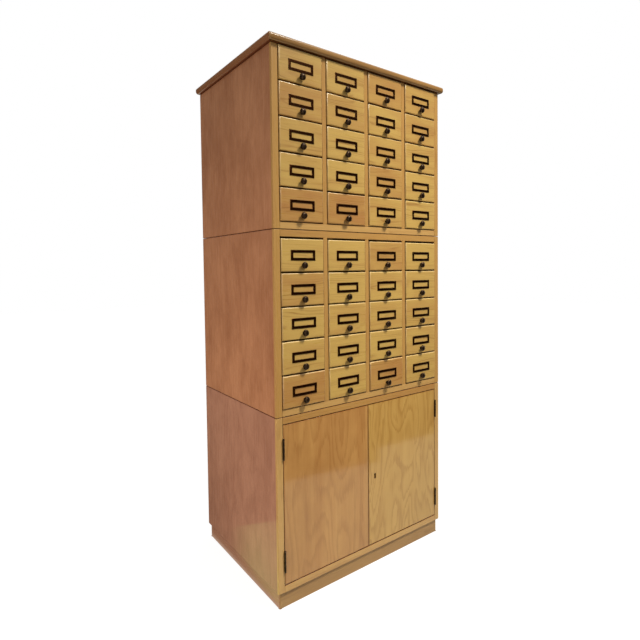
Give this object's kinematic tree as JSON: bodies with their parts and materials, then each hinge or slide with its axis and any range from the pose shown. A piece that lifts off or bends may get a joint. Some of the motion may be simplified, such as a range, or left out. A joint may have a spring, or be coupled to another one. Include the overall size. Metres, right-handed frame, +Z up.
{
  "type": "card-index filing cabinet",
  "caption": "Tall wooden filing cabinet: banks of small card-index drawers with label frames and knobs, over a two-door lockable cupboard on a plinth.",
  "frame": {"origin": "on the floor, under the middle of the whole object", "axes": "+Z up, the front faces -Y, +X to the right of someone who faces the front"},
  "size_m": [0.73, 0.524, 1.647],
  "materials": {
    "beech_edge": "satin lacquered solid beech",
    "side_ply": "satin lacquered birch-faced board",
    "beech_inside": "lacquered beech",
    "drawer_beech": "satin lacquered beech, horizontal grain",
    "door_veneer": "gloss lacquered veneer, vertical grain",
    "back_ply": "bare plywood",
    "dark_metal": "blackened",
    "lock_steel": "dull steel"
  },
  "bodies": {
    "cabinet": {"top_board": "beech_edge", "upper_side_left": "side_ply", "upper_side_right": "side_ply", "upper_rack": "beech_inside", "upper_back": "back_ply", "middle_side_left": "side_ply", "middle_side_right": "side_ply", "middle_rack": "beech_inside", "middle_back": "back_ply", "base_carcass": "side_ply", "base_back": "back_ply", "plinth": "beech_edge", "hinge_left_upper": "dark_metal", "hinge_left_lower": "dark_metal", "hinge_right_upper": "dark_metal", "hinge_right_lower": "dark_metal"},
    "upper_drawer_r1_c1": {"upper_drawer_r1_c1": "drawer_beech"},
    "upper_drawer_r1_c2": {"upper_drawer_r1_c2": "drawer_beech"},
    "upper_drawer_r1_c3": {"upper_drawer_r1_c3": "drawer_beech"},
    "upper_drawer_r1_c4": {"upper_drawer_r1_c4": "drawer_beech"},
    "upper_drawer_r2_c1": {"upper_drawer_r2_c1": "drawer_beech"},
    "upper_drawer_r2_c2": {"upper_drawer_r2_c2": "drawer_beech"},
    "upper_drawer_r2_c3": {"upper_drawer_r2_c3": "drawer_beech"},
    "upper_drawer_r2_c4": {"upper_drawer_r2_c4": "drawer_beech"},
    "upper_drawer_r3_c1": {"upper_drawer_r3_c1": "drawer_beech"},
    "upper_drawer_r3_c2": {"upper_drawer_r3_c2": "drawer_beech"},
    "upper_drawer_r3_c3": {"upper_drawer_r3_c3": "drawer_beech"},
    "upper_drawer_r3_c4": {"upper_drawer_r3_c4": "drawer_beech"},
    "upper_drawer_r4_c1": {"upper_drawer_r4_c1": "drawer_beech"},
    "upper_drawer_r4_c2": {"upper_drawer_r4_c2": "drawer_beech"},
    "upper_drawer_r4_c3": {"upper_drawer_r4_c3": "drawer_beech"},
    "upper_drawer_r4_c4": {"upper_drawer_r4_c4": "drawer_beech"},
    "upper_drawer_r5_c1": {"upper_drawer_r5_c1": "drawer_beech"},
    "upper_drawer_r5_c2": {"upper_drawer_r5_c2": "drawer_beech"},
    "upper_drawer_r5_c3": {"upper_drawer_r5_c3": "drawer_beech"},
    "upper_drawer_r5_c4": {"upper_drawer_r5_c4": "drawer_beech"},
    "middle_drawer_r1_c1": {"middle_drawer_r1_c1": "drawer_beech"},
    "middle_drawer_r1_c2": {"middle_drawer_r1_c2": "drawer_beech"},
    "middle_drawer_r1_c3": {"middle_drawer_r1_c3": "drawer_beech"},
    "middle_drawer_r1_c4": {"middle_drawer_r1_c4": "drawer_beech"},
    "middle_drawer_r2_c1": {"middle_drawer_r2_c1": "drawer_beech"},
    "middle_drawer_r2_c2": {"middle_drawer_r2_c2": "drawer_beech"},
    "middle_drawer_r2_c3": {"middle_drawer_r2_c3": "drawer_beech"},
    "middle_drawer_r2_c4": {"middle_drawer_r2_c4": "drawer_beech"},
    "middle_drawer_r3_c1": {"middle_drawer_r3_c1": "drawer_beech"},
    "middle_drawer_r3_c2": {"middle_drawer_r3_c2": "drawer_beech"},
    "middle_drawer_r3_c3": {"middle_drawer_r3_c3": "drawer_beech"},
    "middle_drawer_r3_c4": {"middle_drawer_r3_c4": "drawer_beech"},
    "middle_drawer_r4_c1": {"middle_drawer_r4_c1": "drawer_beech"},
    "middle_drawer_r4_c2": {"middle_drawer_r4_c2": "drawer_beech"},
    "middle_drawer_r4_c3": {"middle_drawer_r4_c3": "drawer_beech"},
    "middle_drawer_r4_c4": {"middle_drawer_r4_c4": "drawer_beech"},
    "middle_drawer_r5_c1": {"middle_drawer_r5_c1": "drawer_beech"},
    "middle_drawer_r5_c2": {"middle_drawer_r5_c2": "drawer_beech"},
    "middle_drawer_r5_c3": {"middle_drawer_r5_c3": "drawer_beech"},
    "middle_drawer_r5_c4": {"middle_drawer_r5_c4": "drawer_beech"},
    "door_left": {"door_left": "door_veneer"},
    "door_right": {"door_right": "door_veneer", "lock_case": "lock_steel"},
    "lock_bolt": {"lock_bolt": "lock_steel"}
  },
  "joints": [
    {"name": "upper_drawer_r1_c1_slide", "type": "slide", "parent": "cabinet", "child": "upper_drawer_r1_c1", "axis": [0, -1, 0], "range_m": [0, 0.4]},
    {"name": "upper_drawer_r1_c2_slide", "type": "slide", "parent": "cabinet", "child": "upper_drawer_r1_c2", "axis": [0, -1, 0], "range_m": [0, 0.4]},
    {"name": "upper_drawer_r1_c3_slide", "type": "slide", "parent": "cabinet", "child": "upper_drawer_r1_c3", "axis": [0, -1, 0], "range_m": [0, 0.4]},
    {"name": "upper_drawer_r1_c4_slide", "type": "slide", "parent": "cabinet", "child": "upper_drawer_r1_c4", "axis": [0, -1, 0], "range_m": [0, 0.4]},
    {"name": "upper_drawer_r2_c1_slide", "type": "slide", "parent": "cabinet", "child": "upper_drawer_r2_c1", "axis": [0, -1, 0], "range_m": [0, 0.4]},
    {"name": "upper_drawer_r2_c2_slide", "type": "slide", "parent": "cabinet", "child": "upper_drawer_r2_c2", "axis": [0, -1, 0], "range_m": [0, 0.4]},
    {"name": "upper_drawer_r2_c3_slide", "type": "slide", "parent": "cabinet", "child": "upper_drawer_r2_c3", "axis": [0, -1, 0], "range_m": [0, 0.4]},
    {"name": "upper_drawer_r2_c4_slide", "type": "slide", "parent": "cabinet", "child": "upper_drawer_r2_c4", "axis": [0, -1, 0], "range_m": [0, 0.4]},
    {"name": "upper_drawer_r3_c1_slide", "type": "slide", "parent": "cabinet", "child": "upper_drawer_r3_c1", "axis": [0, -1, 0], "range_m": [0, 0.4]},
    {"name": "upper_drawer_r3_c2_slide", "type": "slide", "parent": "cabinet", "child": "upper_drawer_r3_c2", "axis": [0, -1, 0], "range_m": [0, 0.4]},
    {"name": "upper_drawer_r3_c3_slide", "type": "slide", "parent": "cabinet", "child": "upper_drawer_r3_c3", "axis": [0, -1, 0], "range_m": [0, 0.4]},
    {"name": "upper_drawer_r3_c4_slide", "type": "slide", "parent": "cabinet", "child": "upper_drawer_r3_c4", "axis": [0, -1, 0], "range_m": [0, 0.4]},
    {"name": "upper_drawer_r4_c1_slide", "type": "slide", "parent": "cabinet", "child": "upper_drawer_r4_c1", "axis": [0, -1, 0], "range_m": [0, 0.4]},
    {"name": "upper_drawer_r4_c2_slide", "type": "slide", "parent": "cabinet", "child": "upper_drawer_r4_c2", "axis": [0, -1, 0], "range_m": [0, 0.4]},
    {"name": "upper_drawer_r4_c3_slide", "type": "slide", "parent": "cabinet", "child": "upper_drawer_r4_c3", "axis": [0, -1, 0], "range_m": [0, 0.4]},
    {"name": "upper_drawer_r4_c4_slide", "type": "slide", "parent": "cabinet", "child": "upper_drawer_r4_c4", "axis": [0, -1, 0], "range_m": [0, 0.4]},
    {"name": "upper_drawer_r5_c1_slide", "type": "slide", "parent": "cabinet", "child": "upper_drawer_r5_c1", "axis": [0, -1, 0], "range_m": [0, 0.4]},
    {"name": "upper_drawer_r5_c2_slide", "type": "slide", "parent": "cabinet", "child": "upper_drawer_r5_c2", "axis": [0, -1, 0], "range_m": [0, 0.4]},
    {"name": "upper_drawer_r5_c3_slide", "type": "slide", "parent": "cabinet", "child": "upper_drawer_r5_c3", "axis": [0, -1, 0], "range_m": [0, 0.4]},
    {"name": "upper_drawer_r5_c4_slide", "type": "slide", "parent": "cabinet", "child": "upper_drawer_r5_c4", "axis": [0, -1, 0], "range_m": [0, 0.4]},
    {"name": "middle_drawer_r1_c1_slide", "type": "slide", "parent": "cabinet", "child": "middle_drawer_r1_c1", "axis": [0, -1, 0], "range_m": [0, 0.4]},
    {"name": "middle_drawer_r1_c2_slide", "type": "slide", "parent": "cabinet", "child": "middle_drawer_r1_c2", "axis": [0, -1, 0], "range_m": [0, 0.4]},
    {"name": "middle_drawer_r1_c3_slide", "type": "slide", "parent": "cabinet", "child": "middle_drawer_r1_c3", "axis": [0, -1, 0], "range_m": [0, 0.4]},
    {"name": "middle_drawer_r1_c4_slide", "type": "slide", "parent": "cabinet", "child": "middle_drawer_r1_c4", "axis": [0, -1, 0], "range_m": [0, 0.4]},
    {"name": "middle_drawer_r2_c1_slide", "type": "slide", "parent": "cabinet", "child": "middle_drawer_r2_c1", "axis": [0, -1, 0], "range_m": [0, 0.4]},
    {"name": "middle_drawer_r2_c2_slide", "type": "slide", "parent": "cabinet", "child": "middle_drawer_r2_c2", "axis": [0, -1, 0], "range_m": [0, 0.4]},
    {"name": "middle_drawer_r2_c3_slide", "type": "slide", "parent": "cabinet", "child": "middle_drawer_r2_c3", "axis": [0, -1, 0], "range_m": [0, 0.4]},
    {"name": "middle_drawer_r2_c4_slide", "type": "slide", "parent": "cabinet", "child": "middle_drawer_r2_c4", "axis": [0, -1, 0], "range_m": [0, 0.4]},
    {"name": "middle_drawer_r3_c1_slide", "type": "slide", "parent": "cabinet", "child": "middle_drawer_r3_c1", "axis": [0, -1, 0], "range_m": [0, 0.4]},
    {"name": "middle_drawer_r3_c2_slide", "type": "slide", "parent": "cabinet", "child": "middle_drawer_r3_c2", "axis": [0, -1, 0], "range_m": [0, 0.4]},
    {"name": "middle_drawer_r3_c3_slide", "type": "slide", "parent": "cabinet", "child": "middle_drawer_r3_c3", "axis": [0, -1, 0], "range_m": [0, 0.4]},
    {"name": "middle_drawer_r3_c4_slide", "type": "slide", "parent": "cabinet", "child": "middle_drawer_r3_c4", "axis": [0, -1, 0], "range_m": [0, 0.4]},
    {"name": "middle_drawer_r4_c1_slide", "type": "slide", "parent": "cabinet", "child": "middle_drawer_r4_c1", "axis": [0, -1, 0], "range_m": [0, 0.4]},
    {"name": "middle_drawer_r4_c2_slide", "type": "slide", "parent": "cabinet", "child": "middle_drawer_r4_c2", "axis": [0, -1, 0], "range_m": [0, 0.4]},
    {"name": "middle_drawer_r4_c3_slide", "type": "slide", "parent": "cabinet", "child": "middle_drawer_r4_c3", "axis": [0, -1, 0], "range_m": [0, 0.4]},
    {"name": "middle_drawer_r4_c4_slide", "type": "slide", "parent": "cabinet", "child": "middle_drawer_r4_c4", "axis": [0, -1, 0], "range_m": [0, 0.4]},
    {"name": "middle_drawer_r5_c1_slide", "type": "slide", "parent": "cabinet", "child": "middle_drawer_r5_c1", "axis": [0, -1, 0], "range_m": [0, 0.4]},
    {"name": "middle_drawer_r5_c2_slide", "type": "slide", "parent": "cabinet", "child": "middle_drawer_r5_c2", "axis": [0, -1, 0], "range_m": [0, 0.4]},
    {"name": "middle_drawer_r5_c3_slide", "type": "slide", "parent": "cabinet", "child": "middle_drawer_r5_c3", "axis": [0, -1, 0], "range_m": [0, 0.4]},
    {"name": "middle_drawer_r5_c4_slide", "type": "slide", "parent": "cabinet", "child": "middle_drawer_r5_c4", "axis": [0, -1, 0], "range_m": [0, 0.4]},
    {"name": "door_left_hinge", "type": "hinge", "parent": "cabinet", "child": "door_left", "pos_m": [-0.32825, -0.2462, 0.3065], "axis": [0, 0, -1], "range_deg": [0, 180]},
    {"name": "door_right_hinge", "type": "hinge", "parent": "cabinet", "child": "door_right", "pos_m": [0.32825, -0.2462, 0.3065], "axis": [0, 0, 1], "range_deg": [0, 180]},
    {"name": "lock_bolt_slide", "type": "slide", "parent": "door_right", "child": "lock_bolt", "axis": [-1, 0, 0], "range_m": [0, 0.007]}
  ]
}
